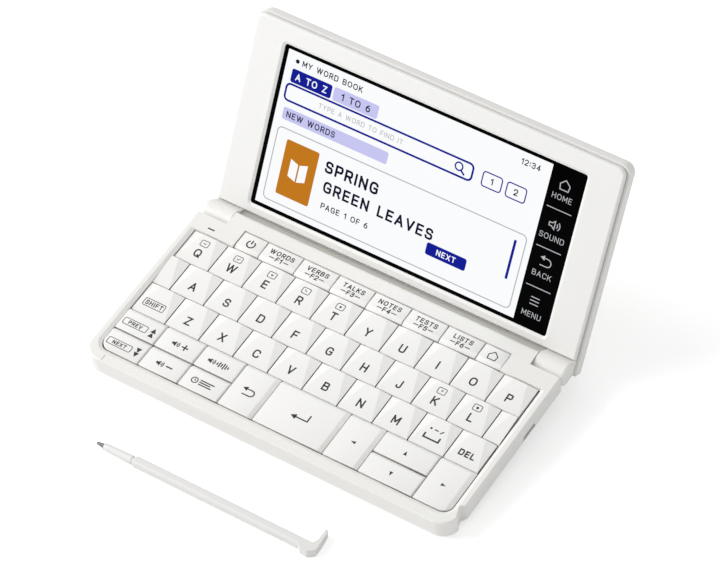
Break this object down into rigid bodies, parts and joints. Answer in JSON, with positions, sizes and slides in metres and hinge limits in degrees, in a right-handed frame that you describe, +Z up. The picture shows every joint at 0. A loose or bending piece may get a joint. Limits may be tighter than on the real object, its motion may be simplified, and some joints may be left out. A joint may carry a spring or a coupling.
{
  "type": "electronic dictionary",
  "caption": "Clamshell pocket electronic dictionary with hinged touch-screen lid, letter keyboard, cursor keys, rear battery tube and a separate stylus.",
  "frame": {"origin": "on the table plane, centre of the rear rubber foot's underside, in the middle of the width", "axes": "+X to the right of a person typing, +Y away from them towards the lid, +Z up; the keyboard deck rises 6 degrees towards +Y"},
  "size_m": [0.148, 0.1472, 0.0807],
  "materials": {
    "shell": "fine-textured warm white ABS",
    "lid_front": "satin warm white ABS",
    "keycaps": "satin warm white ABS with printed legends",
    "touch_glass": "black-printed touch glass",
    "display": "display module",
    "membrane": "silicone rubber",
    "circuit_board": "solder-masked laminate",
    "speaker_metal": "pressed can",
    "cell_jacket": "plain foil jacket",
    "steel": "plated steel",
    "rubber": "soft grey rubber",
    "stylus_plastic": "satin white ABS",
    "stylus_tip": "grey acetal"
  },
  "bodies": {
    "base": {"bottom_case": "shell", "keyboard_frame": "shell", "key_membrane": "membrane", "main_board": "circuit_board", "batteries": "cell_jacket", "battery_contacts": "steel", "speaker": "speaker_metal", "rubber_feet": "rubber", "case_screws": "steel"},
    "lid": {"lid_back_cover": "shell", "lid_frame": "lid_front", "touch_panel": "touch_glass", "lcd_module": "display", "hinge_knuckles": "shell", "hinge_pins": "steel"},
    "battery_cover": {"battery_cover": "shell"},
    "stylus": {"stylus": "stylus_plastic", "stylus_tip": "stylus_tip"},
    "key_Q": {"key_Q": "keycaps"},
    "key_W": {"key_W": "keycaps"},
    "key_E": {"key_E": "keycaps"},
    "key_R": {"key_R": "keycaps"},
    "key_T": {"key_T": "keycaps"},
    "key_Y": {"key_Y": "keycaps"},
    "key_U": {"key_U": "keycaps"},
    "key_I": {"key_I": "keycaps"},
    "key_O": {"key_O": "keycaps"},
    "key_P": {"key_P": "keycaps"},
    "key_A": {"key_A": "keycaps"},
    "key_S": {"key_S": "keycaps"},
    "key_D": {"key_D": "keycaps"},
    "key_F": {"key_F": "keycaps"},
    "key_G": {"key_G": "keycaps"},
    "key_H": {"key_H": "keycaps"},
    "key_J": {"key_J": "keycaps"},
    "key_K": {"key_K": "keycaps"},
    "key_L": {"key_L": "keycaps"},
    "key_Z": {"key_Z": "keycaps"},
    "key_X": {"key_X": "keycaps"},
    "key_C": {"key_C": "keycaps"},
    "key_V": {"key_V": "keycaps"},
    "key_B": {"key_B": "keycaps"},
    "key_N": {"key_N": "keycaps"},
    "key_M": {"key_M": "keycaps"},
    "key_shift": {"key_shift": "keycaps"},
    "key_space": {"key_space": "keycaps"},
    "key_delete": {"key_delete": "keycaps"},
    "key_previous": {"key_previous": "keycaps"},
    "key_next": {"key_next": "keycaps"},
    "key_volume_up": {"key_volume_up": "keycaps"},
    "key_volume_down": {"key_volume_down": "keycaps"},
    "key_sound": {"key_sound": "keycaps"},
    "key_history": {"key_history": "keycaps"},
    "key_back": {"key_back": "keycaps"},
    "key_enter": {"key_enter": "keycaps"},
    "key_left": {"key_left": "keycaps"},
    "key_up": {"key_up": "keycaps"},
    "key_down": {"key_down": "keycaps"},
    "key_right": {"key_right": "keycaps"},
    "function_keys": {"function_keys": "keycaps"}
  },
  "joints": [
    {"name": "lid_hinge", "type": "hinge", "parent": "base", "child": "lid", "pos_m": [0, -0.00369, 0.01254], "axis": [1, 0, 0], "range_deg": [-4, 119.4]},
    {"name": "battery_cover_slide", "type": "slide", "parent": "base", "child": "battery_cover", "axis": [0, 1, 0], "range_m": [0, 0.012]},
    {"name": "stylus_lift", "type": "slide", "parent": "base", "child": "stylus", "axis": [0, 0, 1], "range_m": [0, 0.12]},
    {"name": "press_Q", "type": "slide", "parent": "base", "child": "key_Q", "axis": [0, 0.1045, -0.9945], "range_m": [0, 0.0009], "stiffness_N_per_m": 500, "springref_m": -0.0004},
    {"name": "press_W", "type": "slide", "parent": "base", "child": "key_W", "axis": [0, 0.1045, -0.9945], "range_m": [0, 0.0009], "stiffness_N_per_m": 500, "springref_m": -0.0004},
    {"name": "press_E", "type": "slide", "parent": "base", "child": "key_E", "axis": [0, 0.1045, -0.9945], "range_m": [0, 0.0009], "stiffness_N_per_m": 500, "springref_m": -0.0004},
    {"name": "press_R", "type": "slide", "parent": "base", "child": "key_R", "axis": [0, 0.1045, -0.9945], "range_m": [0, 0.0009], "stiffness_N_per_m": 500, "springref_m": -0.0004},
    {"name": "press_T", "type": "slide", "parent": "base", "child": "key_T", "axis": [0, 0.1045, -0.9945], "range_m": [0, 0.0009], "stiffness_N_per_m": 500, "springref_m": -0.0004},
    {"name": "press_Y", "type": "slide", "parent": "base", "child": "key_Y", "axis": [0, 0.1045, -0.9945], "range_m": [0, 0.0009], "stiffness_N_per_m": 500, "springref_m": -0.0004},
    {"name": "press_U", "type": "slide", "parent": "base", "child": "key_U", "axis": [0, 0.1045, -0.9945], "range_m": [0, 0.0009], "stiffness_N_per_m": 500, "springref_m": -0.0004},
    {"name": "press_I", "type": "slide", "parent": "base", "child": "key_I", "axis": [0, 0.1045, -0.9945], "range_m": [0, 0.0009], "stiffness_N_per_m": 500, "springref_m": -0.0004},
    {"name": "press_O", "type": "slide", "parent": "base", "child": "key_O", "axis": [0, 0.1045, -0.9945], "range_m": [0, 0.0009], "stiffness_N_per_m": 500, "springref_m": -0.0004},
    {"name": "press_P", "type": "slide", "parent": "base", "child": "key_P", "axis": [0, 0.1045, -0.9945], "range_m": [0, 0.0009], "stiffness_N_per_m": 500, "springref_m": -0.0004},
    {"name": "press_A", "type": "slide", "parent": "base", "child": "key_A", "axis": [0, 0.1045, -0.9945], "range_m": [0, 0.0009], "stiffness_N_per_m": 500, "springref_m": -0.0004},
    {"name": "press_S", "type": "slide", "parent": "base", "child": "key_S", "axis": [0, 0.1045, -0.9945], "range_m": [0, 0.0009], "stiffness_N_per_m": 500, "springref_m": -0.0004},
    {"name": "press_D", "type": "slide", "parent": "base", "child": "key_D", "axis": [0, 0.1045, -0.9945], "range_m": [0, 0.0009], "stiffness_N_per_m": 500, "springref_m": -0.0004},
    {"name": "press_F", "type": "slide", "parent": "base", "child": "key_F", "axis": [0, 0.1045, -0.9945], "range_m": [0, 0.0009], "stiffness_N_per_m": 500, "springref_m": -0.0004},
    {"name": "press_G", "type": "slide", "parent": "base", "child": "key_G", "axis": [0, 0.1045, -0.9945], "range_m": [0, 0.0009], "stiffness_N_per_m": 500, "springref_m": -0.0004},
    {"name": "press_H", "type": "slide", "parent": "base", "child": "key_H", "axis": [0, 0.1045, -0.9945], "range_m": [0, 0.0009], "stiffness_N_per_m": 500, "springref_m": -0.0004},
    {"name": "press_J", "type": "slide", "parent": "base", "child": "key_J", "axis": [0, 0.1045, -0.9945], "range_m": [0, 0.0009], "stiffness_N_per_m": 500, "springref_m": -0.0004},
    {"name": "press_K", "type": "slide", "parent": "base", "child": "key_K", "axis": [0, 0.1045, -0.9945], "range_m": [0, 0.0009], "stiffness_N_per_m": 500, "springref_m": -0.0004},
    {"name": "press_L", "type": "slide", "parent": "base", "child": "key_L", "axis": [0, 0.1045, -0.9945], "range_m": [0, 0.0009], "stiffness_N_per_m": 500, "springref_m": -0.0004},
    {"name": "press_Z", "type": "slide", "parent": "base", "child": "key_Z", "axis": [0, 0.1045, -0.9945], "range_m": [0, 0.0009], "stiffness_N_per_m": 500, "springref_m": -0.0004},
    {"name": "press_X", "type": "slide", "parent": "base", "child": "key_X", "axis": [0, 0.1045, -0.9945], "range_m": [0, 0.0009], "stiffness_N_per_m": 500, "springref_m": -0.0004},
    {"name": "press_C", "type": "slide", "parent": "base", "child": "key_C", "axis": [0, 0.1045, -0.9945], "range_m": [0, 0.0009], "stiffness_N_per_m": 500, "springref_m": -0.0004},
    {"name": "press_V", "type": "slide", "parent": "base", "child": "key_V", "axis": [0, 0.1045, -0.9945], "range_m": [0, 0.0009], "stiffness_N_per_m": 500, "springref_m": -0.0004},
    {"name": "press_B", "type": "slide", "parent": "base", "child": "key_B", "axis": [0, 0.1045, -0.9945], "range_m": [0, 0.0009], "stiffness_N_per_m": 500, "springref_m": -0.0004},
    {"name": "press_N", "type": "slide", "parent": "base", "child": "key_N", "axis": [0, 0.1045, -0.9945], "range_m": [0, 0.0009], "stiffness_N_per_m": 500, "springref_m": -0.0004},
    {"name": "press_M", "type": "slide", "parent": "base", "child": "key_M", "axis": [0, 0.1045, -0.9945], "range_m": [0, 0.0009], "stiffness_N_per_m": 500, "springref_m": -0.0004},
    {"name": "press_shift", "type": "slide", "parent": "base", "child": "key_shift", "axis": [0, 0.1045, -0.9945], "range_m": [0, 0.0009], "stiffness_N_per_m": 500, "springref_m": -0.0004},
    {"name": "press_space", "type": "slide", "parent": "base", "child": "key_space", "axis": [0, 0.1045, -0.9945], "range_m": [0, 0.0009], "stiffness_N_per_m": 500, "springref_m": -0.0004},
    {"name": "press_delete", "type": "slide", "parent": "base", "child": "key_delete", "axis": [0, 0.1045, -0.9945], "range_m": [0, 0.0009], "stiffness_N_per_m": 500, "springref_m": -0.0004},
    {"name": "press_previous", "type": "slide", "parent": "base", "child": "key_previous", "axis": [0, 0.1045, -0.9945], "range_m": [0, 0.0009], "stiffness_N_per_m": 500, "springref_m": -0.0004},
    {"name": "press_next", "type": "slide", "parent": "base", "child": "key_next", "axis": [0, 0.1045, -0.9945], "range_m": [0, 0.0009], "stiffness_N_per_m": 500, "springref_m": -0.0004},
    {"name": "press_volume_up", "type": "slide", "parent": "base", "child": "key_volume_up", "axis": [0, 0.1045, -0.9945], "range_m": [0, 0.0009], "stiffness_N_per_m": 500, "springref_m": -0.0004},
    {"name": "press_volume_down", "type": "slide", "parent": "base", "child": "key_volume_down", "axis": [0, 0.1045, -0.9945], "range_m": [0, 0.0009], "stiffness_N_per_m": 500, "springref_m": -0.0004},
    {"name": "press_sound", "type": "slide", "parent": "base", "child": "key_sound", "axis": [0, 0.1045, -0.9945], "range_m": [0, 0.0009], "stiffness_N_per_m": 500, "springref_m": -0.0004},
    {"name": "press_history", "type": "slide", "parent": "base", "child": "key_history", "axis": [0, 0.1045, -0.9945], "range_m": [0, 0.0009], "stiffness_N_per_m": 500, "springref_m": -0.0004},
    {"name": "press_back", "type": "slide", "parent": "base", "child": "key_back", "axis": [0, 0.1045, -0.9945], "range_m": [0, 0.0009], "stiffness_N_per_m": 500, "springref_m": -0.0004},
    {"name": "press_enter", "type": "slide", "parent": "base", "child": "key_enter", "axis": [0, 0.1045, -0.9945], "range_m": [0, 0.0009], "stiffness_N_per_m": 500, "springref_m": -0.0004},
    {"name": "press_left", "type": "slide", "parent": "base", "child": "key_left", "axis": [0, 0.1045, -0.9945], "range_m": [0, 0.0009], "stiffness_N_per_m": 500, "springref_m": -0.0004},
    {"name": "press_up", "type": "slide", "parent": "base", "child": "key_up", "axis": [0, 0.1045, -0.9945], "range_m": [0, 0.0009], "stiffness_N_per_m": 500, "springref_m": -0.0004},
    {"name": "press_down", "type": "slide", "parent": "base", "child": "key_down", "axis": [0, 0.1045, -0.9945], "range_m": [0, 0.0009], "stiffness_N_per_m": 500, "springref_m": -0.0004},
    {"name": "press_right", "type": "slide", "parent": "base", "child": "key_right", "axis": [0, 0.1045, -0.9945], "range_m": [0, 0.0009], "stiffness_N_per_m": 500, "springref_m": -0.0004},
    {"name": "press_function_keys", "type": "slide", "parent": "base", "child": "function_keys", "axis": [0, 0.1045, -0.9945], "range_m": [0, 0.0009], "stiffness_N_per_m": 4000, "springref_m": -0.0004}
  ]
}
